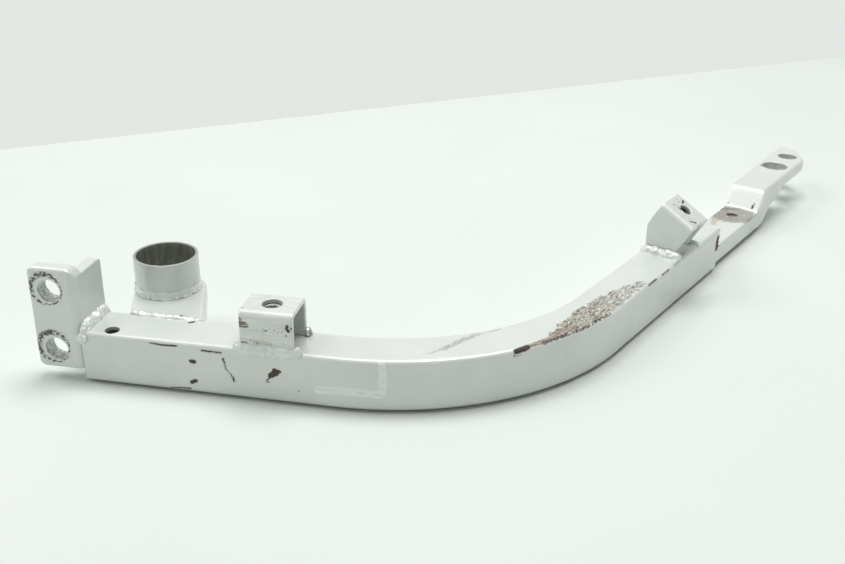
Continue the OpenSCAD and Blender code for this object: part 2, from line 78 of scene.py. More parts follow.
def far(s, q, z):
    """Point of the second straight run: s along it, q back from its front face, z above the floor."""
    return tuple(FAR_BASE[i] + s * RUN[i] + q * ACROSS[i] + (z if i == 2 else 0.0) for i in range(3))


def bend(degrees, q, z):
    """Point of the bend, q back from its front face and z above the floor."""
    turn = math.radians(degrees)
    reach = BEND_R - q
    return (BEND_X + reach * math.sin(turn), BEND_R - reach * math.cos(turn), FLOOR_Z + z)


def front(x, z):
    """Point on the front face, which starts to bend at BEND_X."""
    if x <= BEND_X:
        return (x, 0.0, z)
    return (x, BEND_R - math.sqrt(BEND_R ** 2 - (x - BEND_X) ** 2), z)


# Materials


def kind_of(value):
    if isinstance(value, Link):
        return value.socket.type
    return "VALUE" if isinstance(value, (int, float)) else "VECTOR"


def fitted(socket, value):
    if socket.type == "VECTOR" and isinstance(value, (int, float)):
        return (value, value, value)
    if socket.type == "RGBA" and len(value) == 3:
        return (*value, 1.0)
    return value


class Link:
    """One output inside a material. Python's operators on it add the nodes for the sum."""

    def __init__(self, finish, socket):
        self.finish = finish
        self.socket = socket

    def reckon(self, operation, first, second):
        vector = "VECTOR" in (kind_of(first), kind_of(second))
        node = "ShaderNodeVectorMath" if vector else "ShaderNodeMath"
        return self.finish.node(node, {"operation": operation}, {0: first, 1: second})

    def __add__(self, other):
        return self.reckon("ADD", self, other)

    def __radd__(self, other):
        return self.reckon("ADD", other, self)

    def __sub__(self, other):
        return self.reckon("SUBTRACT", self, other)

    def __rsub__(self, other):
        return self.reckon("SUBTRACT", other, self)

    def __mul__(self, other):
        return self.reckon("MULTIPLY", self, other)

    def __rmul__(self, other):
        return self.reckon("MULTIPLY", other, self)

    def highest(self, other):
        return self.reckon("MAXIMUM", self, other)

    def lowest(self, other):
        return self.reckon("MINIMUM", self, other)

    def size(self):
        return self.reckon("ABSOLUTE", self, 0.0)

    def dot(self, direction):
        return self.finish.node(
            "ShaderNodeVectorMath", {"operation": "DOT_PRODUCT"}, {0: self, 1: direction}, "Value")

    def length(self):
        return self.finish.node("ShaderNodeVectorMath", {"operation": "LENGTH"}, {0: self}, "Value")

    def clamp(self):
        return self.finish.node("ShaderNodeClamp", {}, {0: self})

    def rise(self, low, high):
        """0 below low, 1 above high, and a soft slope in between."""
        return self.finish.node(
            "ShaderNodeMapRange", {"interpolation_type": "SMOOTHSTEP"}, {0: self, 1: low, 2: high})


class Finish:
    """A material that is being put together from nodes."""

    def __init__(self, name):
        self.material = bpy.data.materials.new(name)
        self.material.use_nodes = True
        self.tree = self.material.node_tree
        self.shader = self.tree.nodes["Principled BSDF"]
        self.place = self.node("ShaderNodeTexCoord", {}, {}, "Object") * (1000.0, 1000.0, 1000.0)

    def node(self, kind, settings, inputs, output=0):
        made = self.tree.nodes.new(kind)
        for key, value in settings.items():
            setattr(made, key, value)
        for key, value in inputs.items():
            if isinstance(value, Link):
                self.tree.links.new(value.socket, made.inputs[key])
            else:
                made.inputs[key].default_value = fitted(made.inputs[key], value)
        return Link(self, made.outputs[output])

    def noise(self, size, detail=2.0, rough=0.5, stretch=None, shift=0.0):
        """Cloud pattern from 0 to 1 whose patches are about size millimetres across."""
        place = self.place if stretch is None else stretch
        return self.node(
            "ShaderNodeTexNoise", {"noise_dimensions": "3D"},
            {"Vector": place + (shift, shift, shift), "Scale": 1.0 / size, "Detail": detail, "Roughness": rough},
            "Fac")

    def along(self, direction, thin):
        """The place with everything along one direction drawn out, for streaks."""
        part = self.place.dot(direction)
        return self.place - part * tuple(d * (1.0 - thin) for d in direction)

    def colour(self, share, first, second):
        return self.node("ShaderNodeMix", {"data_type": "RGBA"}, {0: share, 6: first, 7: second}, 2)

    def number(self, share, first, second):
        return first + share * (second - first)

    def field(self, name):
        """A number that the mesh holds at each of its points."""
        return self.node("ShaderNodeAttribute", {"attribute_name": name}, {}, "Fac")

    def ragged(self, depth, edge, size, soft=0.25, shift=0.0):
        """Mask from 0 to 1 of a depth whose border is broken up by noise."""
        return (depth + (self.noise(size, 3.0, 0.6, shift=shift) - 0.5) * edge).rise(0.0, soft)

    def specks(self, depth, size, dense, shift=0.0):
        """Small spots scattered over a marked area, closer together where dense is higher."""
        grain = self.noise(size, 3.0, 0.7, shift=shift)
        return (grain + dense - 0.62).rise(0.0, 0.06) * depth.rise(-0.4, 0.5)

    def feed(self, **sockets):
        for name, value in sockets.items():
            socket = self.shader.inputs[name.replace("_", " ")]
            if isinstance(value, Link):
                self.tree.links.new(value.socket, socket)
            else:
                socket.default_value = fitted(socket, value)
        return self.material

    def bump(self, height, strength, depth):
        """Normal from a height between 0 and 1 that stands for depth millimetres."""
        return self.node(
            "ShaderNodeBump", {}, {"Height": height, "Strength": strength, "Distance": depth * MM}, "Normal")


SILVER = (0.75, 0.78, 0.75)
SILVER_SHADE = (0.70, 0.73, 0.70)
PRIMER = (0.30, 0.31, 0.29)
DARK_CHIP = (0.045, 0.038, 0.032)
RUST = (0.27, 0.17, 0.145)
RUST_DARK = (0.070, 0.042, 0.030)
BARE_STEEL = (0.42, 0.41, 0.38)
BEIGE = (0.46, 0.415, 0.335)
MARKER = (0.94, 0.97, 0.94)


class Paint(Finish):
    """Silver paint with flakes, on which layers of wear, painted shade and painted highlight are laid before it
    is closed.
    """

    def __init__(self, name, base=SILVER, shade=SILVER_SHADE, lumps=0.35):
        super().__init__(name)
        cloud = self.noise(28.0, 3.0, 0.55)
        flake = self.noise(0.35, 1.0, 0.5, shift=9.0)
        self.tint = self.colour(cloud.rise(0.3, 0.75), base, shade)
        self.tint = self.colour(flake.rise(0.60, 0.75) * 0.35, self.tint, (0.80, 0.82, 0.80))
        self.tint = self.colour(flake.rise(0.40, 0.25) * 0.25, self.tint, (0.36, 0.38, 0.36))
        dust = self.noise(5.0, 4.0, 0.65, shift=31.0)
        self.tint = self.colour(dust.rise(0.60, 0.80) * 0.10, self.tint, (0.42, 0.42, 0.37))
        self.gloss = 0.33 + cloud * 0.08 + flake * 0.05
        self.metal = 0.30 - flake * 0.08
        self.height = self.noise(2.2, 2.0, 0.5, shift=4.0) * lumps + flake * 0.06
        self.coat = 0.60

    def layer(self, mask, tint, gloss, metal, deep):
        """One layer under a mask, used for wear and for painted shade and highlight: its colour, roughness, metal
        and how deep it lies.
        """
        self.tint = self.colour(mask, self.tint, tint)
        self.gloss = self.number(mask, self.gloss, gloss)
        self.metal = self.number(mask, self.metal, metal)
        self.coat = self.number(mask, self.coat, 0.04)
        self.height = self.height - mask * deep

    def chips(self, depth, edge=1.0, size=1.4, shift=0.0):
        """Paint chipped off down to dark steel, with a rim of grey primer."""
        rim = self.ragged(depth + 0.35, edge, size, 0.3, shift)
        core = self.ragged(depth, edge, size, 0.25, shift)
        grain = self.noise(0.9, 3.0, 0.6, shift=shift + 3.0)
        dark = self.colour(grain.rise(0.42, 0.68), DARK_CHIP, RUST_DARK)
        dark = self.colour(grain.rise(0.62, 0.75) * 0.5, dark, BARE_STEEL)
        self.layer(rim * 0.55, PRIMER, 0.55, 0.1, 0.35)
        self.layer(core, dark, 0.62, 0.15, 0.6)

    def peppered(self, depth, size, dense, shift=0.0):
        """Many small dark chips over a marked area."""
        mask = self.specks(depth, size, dense, shift)
        self.layer(mask, DARK_CHIP, 0.6, 0.1, 0.5)

    def close(self):
        return self.feed(
            Base_Color=self.tint, Roughness=self.gloss, Metallic=self.metal,
            Normal=self.bump(self.height, 0.55, 0.16),
            Coat_Weight=self.coat, Coat_Roughness=0.12)


def tube_marks():
    """Strokes of wear on the main tube by name; each stroke is a radius and its points."""
    return {
        "chips": [
            (0.45, front(48, -6.6), front(54, -7.0), front(61, -6.8)),
            (0.50, front(73, -7.7), front(82.5, -7.9)),
            (0.62, front(83.2, -10.9), front(83.7, -13.0)),
            (0.42, front(83.4, -11.2), front(84, -15.7), front(86.5, -18.7), front(87.7, -21.7)),
            (0.60, front(87.4, -20.2), front(87.9, -22.2)),
            (1.05, front(67.3, -14.0), front(69.0, -14.2)),
            (1.00, front(66.8, -25.2), front(69.0, -24.2)),
            (0.90, (59.4, 19.8, TUBE_TOP), (61.2, 21.4, TUBE_TOP)),
            (0.42, front(56, -29.4), front(66, -28.6)),
            (0.45, front(119, -23.7)),
            (0.45, front(91, -6.7)),
            (0.55, front(104.4, -20.6)),
            (0.55, far(34.4, 0.4, 25.4), far(44, 0.4, 25.4)),
            (0.45, far(51, 0.3, 25.2), far(60, 0.3, 25.2)),
            (0.40, far(66, 0.2, 25.3), far(75, 0.2, 25.3)),
        ],
        "marker": [
            (2.2, front(128, -21.9), front(142, -20.9), front(157, -21.8)),
            (2.0, front(157.6, -20.0), front(158.0, -12.0), front(157.4, -6.0)),
        ],
        "scratch": [
            (0.9, bend(18.4, 6.9, 26), bend(21.5, 10.4, 26)),
            (1.9, bend(21.8, 10.8, 26), bend(24.8, 14.8, 26)),
            (2.1, bend(25.0, 15.2, 26), bend(28.0, 18.4, 26)),
            (1.7, bend(28.0, 18.4, 26), bend(31.0, 20.4, 26)),
            (0.8, bend(31.0, 20.4, 26), bend(37.0, 21.2, 26)),
        ],
        "scrape": [
            (1.6, bend(38.0, 0.6, 26), bend(41.0, 1.0, 26)),
            (2.4, bend(41.0, 1.0, 26), bend(44.5, 1.8, 26)),
            (4.6, bend(46.2, 3.0, 26), bend(48.4, 4.4, 26)),
            (6.2, bend(50.5, 5.9, 26), bend(54.0, 6.8, 26)),
            (7.5, bend(57.0, 8.0, 26), bend(62.0, 8.4, 26)),
            (7.1, bend(64.0, 8.2, 26), far(4, 7.9, 26)),
            (5.8, far(8, 7.2, 26), far(14, 6.9, 26)),
            (4.6, far(18, 6.3, 26), far(24, 5.7, 26)),
            (3.0, far(27, 4.8, 26), far(33, 4.3, 26)),
        ],
        "brown": [
            (2.0, bend(38.8, 1.2, 25.9), bend(43.0, 2.2, 26), bend(46.0, 3.0, 26)),
            (3.4, bend(46.5, 3.6, 26), bend(49.5, 5.6, 26)),
            (2.6, bend(50.0, 4.0, 26), bend(52.0, 5.0, 26)),
        ],
        "dark": [
            (1.6, bend(35.6, 0.0, 25.4), bend(38.2, 0.9, 25.9)),
            (0.60, bend(34.9, -0.6, 23.4), bend(35.5, -0.6, 22.6), bend(36.6, -0.6, 23.2)),
        ],
        "border": [
            (1.0, bend(42.0, 0.8, 25.7), bend(53.0, 1.0, 25.8), bend(62.0, 1.2, 25.9)),
        ],
        "rust": [
            (1.7, front(106.0, -16.8), front(108.6, -15.2)),
            (1.1, front(107.4, -13.8), front(109.9, -14.4)),
            (0.5, front(103.2, -20.4), front(104.6, -18.8)),
            (2.0, far(129.6, 0.0, 14.4), far(130.0, 0.0, 20.2)),
            (1.8, far(131.4, 0.0, 14.0), far(131.4, 0.0, 20.6)),
        ],
    }


def tube_paint():
    """Paint of the main tube with its chips, scrapes, stain and pale marker stroke."""
    paint = Paint("tube_silver_paint")
    stroke = paint.noise(2.0, 3.0, 0.6, paint.along((1.0, 0.0, 0.0), 0.15), 2.0)
    marked = paint.field("marker").rise(-0.2, 0.5) * stroke.rise(0.25, 0.5)
    paint.layer(marked * 0.85, MARKER, 0.5, 0.0, -0.05)

    streaks = paint.along((0.40, 0.92, 0.0), 0.40)
    scratch = paint.field("scratch")
    hair = paint.noise(0.8, 3.0, 0.75, streaks, 5.0)
    scratched = scratch.rise(-0.8, 1.4) * (hair + scratch * 0.03).rise(0.43, 0.53)
    paint.layer(scratched * 0.85, (0.37, 0.38, 0.36), 0.5, 0.3, 0.3)

    upper = (paint.place.dot((0.0, 0.0, 1.0)) - TUBE_TOP).rise(-0.9, -0.5)
    area = paint.ragged(paint.field("scrape"), 3.0, 2.2, 0.7, 12.0) * upper
    fade = (paint.place - bend(52.0, 5.0, 26)).length().rise(18.0, 62.0)
    grit = paint.noise(0.8, 3.0, 0.75, streaks, 7.0)
    tan = paint.noise(1.4, 3.0, 0.7, streaks, 15.0)
    pale = paint.noise(1.1, 3.0, 0.75, streaks, 23.0)
    black = paint.noise(1.0, 3.0, 0.75, streaks, 29.0)
    rosy = paint.ragged(paint.field("brown"), 3.0, 1.6, 1.2, 41.0) * upper
    worn = (area * (grit - fade * 0.09).rise(0.34, 0.42)).highest(rosy)
    inside = paint.colour(tan.rise(0.38, 0.54) * (1.0 - fade * 0.6), (0.33, 0.335, 0.32), BEIGE)
    inside = paint.colour(rosy * tan.rise(0.62, 0.44) * 0.9, inside, RUST)
    inside = paint.colour(black.rise(0.50, 0.57), inside, (0.11, 0.095, 0.08))
    inside = paint.colour(pale.rise(0.56, 0.62) * (1.0 - rosy * 0.7), inside, (0.78, 0.79, 0.75))
    paint.layer(worn, inside, 0.6, 0.15, 0.5)
    paint.peppered(paint.field("border"), 1.3, 0.17, 47.0)
    paint.chips(paint.field("dark"), 1.4, 1.2, 51.0)
    rusty = paint.noise(1.2, 3.0, 0.7, shift=63.0).rise(0.45, 0.62)
    rust = paint.colour(rusty, RUST_DARK, (0.12, 0.078, 0.058))
    paint.layer(paint.ragged(paint.field("rust"), 2.4, 1.3, 0.3, 61.0), rust, 0.7, 0.1, 0.6)
    paint.chips(paint.field("chips"), 0.9, 1.1, 71.0)
    return paint.close()


def bolt_ring(paint, z, wide):
    """Paint crushed off in spots by a bolt's head that sat a little to the upper left of its hole."""
    from_axis = paint.place - (0.0, 0.0, z)
    flat = from_axis * (1.0, 0.0, 1.0)
    beyond = flat.length() - 5.5
    head = (flat - (-1.2, 0.0, 0.7)).length() - 7.7
    heavy = from_axis.dot((-0.75, 0.0, 0.66)).rise(-7.0, 7.0)
    face = (from_axis.dot((0.0, 1.0, 0.0)) * -1.0).rise(-1.6, -0.8) * beyond.rise(-0.5, 0.2)
    grit = paint.noise(1.1, 4.0, 0.75, shift=z)
    off = head.highest(head * -1.0)
    band = (wide + heavy * 0.8 - off).rise(0.0, 1.2) * face
    spots = (grit + heavy * 0.11 - off * 0.03 - 0.54).rise(0.0, 0.04) * band
    wander = (paint.noise(3.0, 2.0, 0.5, shift=z + 5.0) - 0.5) * 1.2
    edge = (head + wander).highest((head + wander) * -1.0)
    line = (0.45 - edge).rise(0.0, 0.2) * grit.rise(0.46, 0.54) * face
    paint.layer(spots.highest(line), (0.10, 0.095, 0.09), 0.6, 0.15, 0.5)


def head_lug_paint():
    """Paint of the head lug with the rings of chips round its bolt holes, and grey on its bore walls that is
    partly scuffs and partly painted shade.
    """
    paint = Paint("head_lug_silver_paint", lumps=0.5)
    bolt_ring(paint, BOLT_Z, 1.1)
    bolt_ring(paint, -BOLT_Z, 1.3)
    bores = paint.place * (1.0, 0.0, 1.0)
    bore_scuff_and_shade = paint.noise(1.4, 3.0, 0.7, shift=14.0).rise(0.42, 0.58)
    # Grey on the bore walls: partly scuffed bare metal, partly painted shade deep in the bores.
    for z in (BOLT_Z, -BOLT_Z):
        wall = 6.0 - (bores - (0.0, 0.0, z)).length()
        paint.layer(wall.rise(0.0, 0.4) * bore_scuff_and_shade * 0.8, (0.30, 0.31, 0.30), 0.45, 0.4, 0.0)
    paint.chips(paint.field("chips"), 1.0, 1.2, 15.0)
    return paint.close()


def end_lug_marks():
    return {
        "stain": [(3.0, far(168, 17.0, 13.5), far(179, 20.5, 13.5))],
        "rust": [
            (3.0, far(133.4, 1.2, 14.4), far(133.4, 1.2, 20.0)),
            (2.4, far(136.0, 1.2, 14.4), far(136.0, 1.2, 19.0)),
        ],
        # Where shade is painted on the flat at the foot of the step.
        "foot": [(2.2, far(196, 24.0, 13.5), far(203.4, 13.0, 13.5))],
        "chips": [
            (0.85, far(204.8, 5.8, 15.8), far(206.4, 5.0, 19.0)),
            (0.80, far(207.6, 4.1, 20.8), far(210.0, 3.4, 25.0)),
            (0.45, far(207.5, 19.8, 20.8)),
            (0.50, far(204.8, 21.6, 15.5)),
            (0.90, far(262.2, 21.2, 26.0), far(263.4, 20.6, 26.0)),
        ],
    }


def end_lug_paint():
    """Paint of the end lug: washer stain and brown stain on its flat, painted shade at the step's foot and in its
    bolt hole, a painted highlight on the step's ramp, chips on the step.
    """
    paint = Paint("end_lug_silver_paint", lumps=0.45)
    level = paint.place.dot((0.0, 0.0, 1.0))
    on_flat = (level + 18.4).rise(0.0, 0.6) * (level + 16.6).rise(0.6, 0.0)
    ring = (paint.place - far(FLAT_HOLE_S, HOLE_LINE_Q, 13.5)).length()
    spots = paint.noise(2.0, 4.0, 0.7, shift=11.0)
    washer = (16.5 - ring + (spots - 0.5) * 16.0).rise(0.0, 3.0)
    grime = paint.colour(spots.rise(0.36, 0.62), (0.15, 0.13, 0.11), (0.38, 0.37, 0.335))
    paint.layer(washer * on_flat * spots.rise(0.28, 0.44) * 0.92, grime, 0.5, 0.2, 0.3)
    # Painted shade: a dark brown band on the flat at the foot of the step, where shade falls.
    foot = paint.ragged(paint.field("foot"), 2.0, 2.0, 1.2, 13.0) * on_flat
    paint.layer(foot * 0.75, (0.20, 0.17, 0.14), 0.6, 0.1, 0.2)
    # Painted shade: near-black inside the bolt hole below the flat.
    bore = (3.9 - ring).rise(0.0, 0.4) * (-17.7 - level).rise(0.0, 0.4)
    paint.layer(bore * 0.9, (0.10, 0.09, 0.08), 0.6, 0.1, 0.0)
    stain = paint.ragged(paint.field("stain"), 6.0, 2.4, 2.0, 17.0) * on_flat
    paint.layer(stain * 0.7, (0.50, 0.37, 0.31), 0.6, 0.1, 0.1)
    # Painted highlight: the sloping ramp of the step is painted near-white and glossy where it catches the light.
    run = paint.place.dot(RUN) - FAR_RAMP
    sloping = (level + 18.0).rise(0.6, 3.0) * (level + 5.4).rise(0.6, 0.0)
    ramp_highlight = sloping * run.rise(-7.0, -5.0) * run.rise(6.5, 5.5)
    paint.layer(ramp_highlight * 0.95, (0.96, 0.98, 0.96), 0.16, 0.0, 0.0)
    rust = paint.ragged(paint.field("rust"), 2.4, 1.3, 0.3, 61.0) * run.rise(-60.0, -62.0)
    paint.layer(rust, RUST_DARK, 0.7, 0.1, 0.5)
    paint.chips(paint.field("chips"), 1.6, 0.9, 19.0)
    for s in (267.5, 294.0):
        hole = (paint.place - far(s, HOLE_LINE_Q, 26.0)) * (1.0, 1.0, 0.35)
        reach = 8.25 if s < 280.0 else 6.25
        rim = (reach + 0.5 - hole.length()).rise(0.0, 0.5)
        paint.layer(rim * 0.45, (0.32, 0.33, 0.31), 0.5, 0.3, 0.1)
    return paint.close()


def bracket_paint(name, bare=False):
    """Paint of a folded bracket with its own chips, and, if it has any, bare brown places and painted shade
    inside its fold.
    """
    paint = Paint(name, lumps=0.35)
    if bare:
        patch = paint.ragged(paint.field("bare"), 1.4, 1.6, 0.4, 27.0)
        paint.layer(patch * 0.9, (0.15, 0.10, 0.075), 0.65, 0.15, 0.4)
        stain = paint.ragged(paint.field("stain"), 1.6, 1.2, 0.8, 29.0)
        paint.layer(stain * 0.6, (0.44, 0.43, 0.32), 0.5, 0.2, 0.1)
        # Painted shade: darker grey on the inner faces of the bracket's flanges, where shade falls.
        paint.layer(paint.field("inner").rise(-1.0, 3.0) * 0.38, (0.30, 0.33, 0.32), 0.45, 0.3, 0.0)
        streak = paint.noise(1.6, 3.0, 0.6, paint.along((1.0, 0.0, 0.0), 0.12), 43.0)
        paint.layer(streak.rise(0.56, 0.64) * 0.30, (0.44, 0.46, 0.44), 0.35, 0.3, 0.1)
        paint.layer(streak.rise(0.44, 0.38) * 0.40, (0.90, 0.92, 0.90), 0.25, 0.2, 0.0)
    paint.peppered(paint.field("specks"), 0.9, 0.06, 37.0)
    paint.chips(paint.field("chips"), 1.2, 1.2, 33.0)
    return paint.close()


def weld_paint():
    """Paint run over weld metal, lighter on its bumps and grey between them, with a painted glint on the U
    bracket's front weld.
    """
    paint = Paint("weld_silver_paint", (0.80, 0.83, 0.80), (0.74, 0.77, 0.74), lumps=0.9)
    pit = paint.noise(1.3, 4.0, 0.6, shift=45.0)
    paint.layer(pit.rise(0.58, 0.72) * 0.35, (0.40, 0.41, 0.38), 0.5, 0.2, 0.3)
    paint.layer(paint.ragged(paint.field("rust"), 2.0, 1.3, 0.3, 61.0), RUST_DARK, 0.7, 0.1, 0.6)
    paint.layer(paint.ragged(paint.field("stain"), 1.4, 1.2, 0.5, 65.0) * 0.7, (0.36, 0.35, 0.25), 0.5, 0.1, 0.2)
    # Painted highlight: a near-white glint on the U bracket's front weld.
    paint.layer(paint.ragged(paint.field("weld_glint"), 1.6, 1.2, 0.4, 67.0) * 0.9, (0.97, 0.98, 0.97), 0.25, 0.0, -0.3)
    steel = paint.colour(pit.rise(0.42, 0.56), (0.13, 0.13, 0.12), (0.55, 0.56, 0.54))
    paint.layer(paint.ragged(paint.field("bare"), 1.4, 1.4, 0.4, 69.0), steel, 0.28, 0.8, 0.2)
    return paint.close()


def stub_finish():
    """Cross tube stub: paint outside, dark greenish steel with brown streaks inside."""
    paint = Paint("cross_tube_steel", (0.66, 0.69, 0.66), (0.58, 0.61, 0.58))
    from_axis = (paint.place - (STUB_AXIS[0], STUB_AXIS[1], 0.0)) * (1.0, 1.0, 0.0)
    inner = (STUB_R - 0.5 - from_axis.length()).rise(0.0, 0.6)
    drip = paint.noise(2.6, 3.0, 0.6, paint.along((0.0, 0.0, 1.0), 0.2), 3.0)
    steel = paint.colour(drip.rise(0.35, 0.7), (0.17, 0.18, 0.15), (0.27, 0.28, 0.24))
    steel = paint.colour(drip.rise(0.62, 0.72) * 0.5, steel, (0.13, 0.10, 0.07))
    steel = paint.colour(paint.noise(1.8, 3.0, 0.6, shift=8.0).rise(0.66, 0.74), steel, (0.03, 0.025, 0.02))
    paint.layer(inner, steel, 0.5, 0.35, 0.2)
    rim = (paint.place.dot((0.0, 0.0, 1.0)) - (TUBE_TOP + STUB_H - 0.5)).rise(0.0, 0.3)
    paint.layer(rim * 0.6, (0.40, 0.41, 0.37), 0.4, 0.6, 0.0)
    return paint.close()


def nut_steel(name, level):
    """Grey zinc steel of a weld nut; level sets how light it is."""
    finish = Finish(name)
    cloud = finish.noise(2.0, 3.0, 0.6)
    fine = finish.noise(0.4, 2.0, 0.5, shift=6.0)
    dull = (0.68 * level, 0.70 * level, 0.66 * level)
    tint = finish.colour(cloud.rise(0.35, 0.70), dull, (level, level, 0.95 * level))
    tint = finish.colour(cloud.rise(0.62, 0.72) * 0.5, tint, (0.20, 0.13, 0.08))
    height = cloud * 0.5 + fine * 0.5
    return finish.feed(
        Base_Color=tint, Roughness=0.36 + cloud * 0.2, Metallic=0.55 + cloud * 0.2,
        Normal=finish.bump(height, 0.5, 0.12))


# Meshes


def shade(mesh, sharp_degrees):
    mesh.shade_smooth()
    mesh.set_sharp_from_angle(angle=math.radians(sharp_degrees))


def settle(made, slot, material, *nodes):
    """Gives a new piece its material and body, and hides the CAD nodes that it stands for."""
    made.data.materials.clear()
    made.data.materials.append(material)
    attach(made, "root")
    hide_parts(*nodes)
    return made


def hold_marks(mesh, marks):
    """Stores at each point of a mesh how deep it lies inside each set of strokes, in millimetres."""
    place = np.empty(len(mesh.vertices) * 3)
    mesh.vertices.foreach_get("co", place)
    place = place.reshape(-1, 3) / MM
    for name in marks:
        deepest = np.full(len(place), -9.0)
        for radius, *points in marks[name]:
            ends = points[1:] or points
            for start, end in zip(points, ends):
                run = np.subtract(end, start)
                from_start = place - np.array(start)
                share = np.clip(from_start @ run / max(run @ run, 1e-6), 0.0, 1.0)
                gap = np.linalg.norm(from_start - share[:, None] * run, axis=1)
                deepest = np.maximum(deepest, radius - gap)
        values = mesh.attributes.new(name, "FLOAT", "POINT")
        values.data.foreach_set("value", deepest.astype(np.float32))


def new_piece(name, points, faces, sharp_degrees=40):
    mesh = bpy.data.meshes.new(name)
    mesh.from_pydata([tuple(c * MM for c in p) for p in points], [], faces)
    mesh.validate()
    shade(mesh, sharp_degrees)
    made = bpy.data.objects.new(name, mesh)
    bpy.context.scene.collection.objects.link(made)
    return made


def baked(made):
    """Replaces a piece's mesh by what its modifiers give, and takes them off."""
    bpy.context.view_layer.update()
    evaluated = made.evaluated_get(bpy.context.evaluated_depsgraph_get())
    mesh = bpy.data.meshes.new_from_object(evaluated)
    made.modifiers.clear()
    made.data = mesh
    return mesh


def tube_section(inset, radius):
    """Section of the box tube as (back, up) points, finer on its front and top."""
    low = inset
    wide = TUBE_W - inset
    high = TUBE_H - inset
    hold = 0.4
    arc_steps = 9
    corners = ((low, low, 180, 5), (wide, low, 270, 5), (wide, high, 0, 25), (low, high, 90, 27))
    loop = []
    for y, z, start, cuts in corners:
        cy = y + radius if y == low else y - radius
        cz = z + radius if z == low else z - radius
        for i in range(arc_steps + 1):
            t = math.radians(start + 90 * i / arc_steps)
            loop.append((cy + radius * math.cos(t), cz + radius * math.sin(t)))
        last = np.array(loop[-1])
        side = np.array((-math.sin(math.radians(start + 90)), math.cos(math.radians(start + 90))))
        span = (wide - low if start in (0, 180) else high - low) - 2 * radius
        flats = [hold] + [span * i / cuts for i in range(1, cuts)] + [span - hold]
        loop += [tuple(last + side * reach) for reach in flats]
    return loop


def tube_stations(step):
    """Places along the tube as (turn, distance past the turn), step millimetres apart."""
    near_len = BEND_X - TUBE_START
    near_steps = math.ceil(near_len / step)
    bend_steps = math.ceil(BEND_TURN * BEND_R / step)
    far_steps = math.ceil(FAR_LEN / step)
    stations = [(0.0, -near_len + near_len * i / near_steps) for i in range(near_steps)]
    stations += [(BEND_TURN * i / bend_steps, 0.0) for i in range(bend_steps + 1)]
    stations += [(BEND_TURN, FAR_LEN * i / far_steps) for i in range(1, far_steps + 1)]
    return stations


def swept(section, stations):
    points = []
    for turn, past in stations:
        for back, up in section:
            reach = BEND_R - back
            points.append((
                BEND_X + reach * math.sin(turn) + past * math.cos(turn),
                BEND_R - reach * math.cos(turn) + past * math.sin(turn),
                FLOOR_Z + up))
    return points


def band(first, second, flip):
    """Faces between two loops of point numbers."""
    n = len(first)
    faces = []
    for j in range(n):
        k = (j + 1) % n
        face = (first[j], first[k], second[k], second[j])
        faces.append(face[::-1] if flip else face)
    return faces


def main_tube():
    """The box tube with its bend, open inside, with the small hole in its top."""
    outer = tube_section(0.0, TUBE_CORNER)
    inner = tube_section(TUBE_WALL, 0.7)
    stations = tube_stations(0.9)
    inner_stations = tube_stations(6.0)
    points = swept(outer, stations) + swept(inner, inner_stations)
    n = len(outer)
    inside = len(stations) * n
    inner_end = inside + (len(inner_stations) - 1) * n
    faces = []
    for start, rows, flip in ((0, len(stations), True), (inside, len(inner_stations), False)):
        for i in range(rows - 1):
            first = [start + i * n + j for j in range(n)]
            faces += band(first, [f + n for f in first], flip)
    faces += band(list(range(n)), list(range(inside, inside + n)), False)
    faces += band(list(range(inside - n, inside)), list(range(inner_end, inner_end + n)), True)
    made = new_piece("box_tube", points, faces)
    drill = lathe("drill", [(TOP_HOLE_R, -4.0), (TOP_HOLE_R, 2.0)], 64, (*TOP_HOLE, TUBE_TOP), True)
    cutter = made.modifiers.new("hole", "BOOLEAN")
    cutter.object = drill
    cutter.solver = "EXACT"
    mesh = baked(made)
    bpy.data.objects.remove(drill)
    shade(mesh, 40)
    hold_marks(mesh, tube_marks())
    return settle(made, "tube_paint", tube_paint(), "main_tube")


def lathe(name, profile, sides, centre, closed_ends=False):
    """Profile of (radius, height) points turned round an upright axis through centre."""
    points = []
    for r, z in profile:
        for i in range(sides):
            t = 2 * math.pi * i / sides
            points.append((centre[0] + r * math.cos(t), centre[1] + r * math.sin(t), centre[2] + z))
    loops = [[k * sides + i for i in range(sides)] for k in range(len(profile))]
    faces = []
    for first, second in zip(loops, loops[1:]):
        faces += band(first, second, False)
    if closed_ends:
        faces += [tuple(loops[0][::-1]), tuple(loops[-1])]
    else:
        faces += band(loops[-1], loops[0], False)
    return new_piece(name, points, faces)


def cross_tube_stub():
    """Thin upright ring with a rounded, slightly uneven sawn rim."""
    outer = STUB_R
    inner = STUB_R - STUB_WALL
    top = STUB_H
    soft = 0.35
    profile = [(inner, 0.0), (outer, 0.0)]
    profile += [(outer, top * share) for share in (0.1, 0.3, 0.5, 0.7, 0.9)]
    profile += [(outer, top - soft), (outer - 0.1, top - 0.1), (outer - soft, top)]
    profile += [(inner + soft, top), (inner + 0.1, top - 0.1), (inner, top - soft)]
    profile += [(inner, top * share) for share in (0.8, 0.5, 0.2)]
    made = lathe("stub_ring", profile, 144, (*STUB_AXIS, TUBE_TOP))
    for v in made.data.vertices:
        if v.co.z > (TUBE_TOP + top - 1.0) * MM:
            v.co.z -= 0.00018 * (0.5 + 0.5 * noise.noise(v.co * 400.0))
    return settle(made, "stub_steel", stub_finish(), "cross_tube_stub")


def roughen(mesh, amount, size, thin, seed):
    """Moves each point along its normal by layered noise and inwards; all lengths in millimetres."""
    shift = Vector((seed, 2.0 * seed, 3.0 * seed))
    moved = []
    for v in mesh.vertices:
        p = v.co / (size * MM) + shift
        lift = noise.noise(p) + 0.5 * noise.noise(p * 2.3)
        moved.append(v.co + v.normal * ((lift * amount - thin) * MM))
    for v, p in zip(mesh.vertices, moved):
        v.co = p


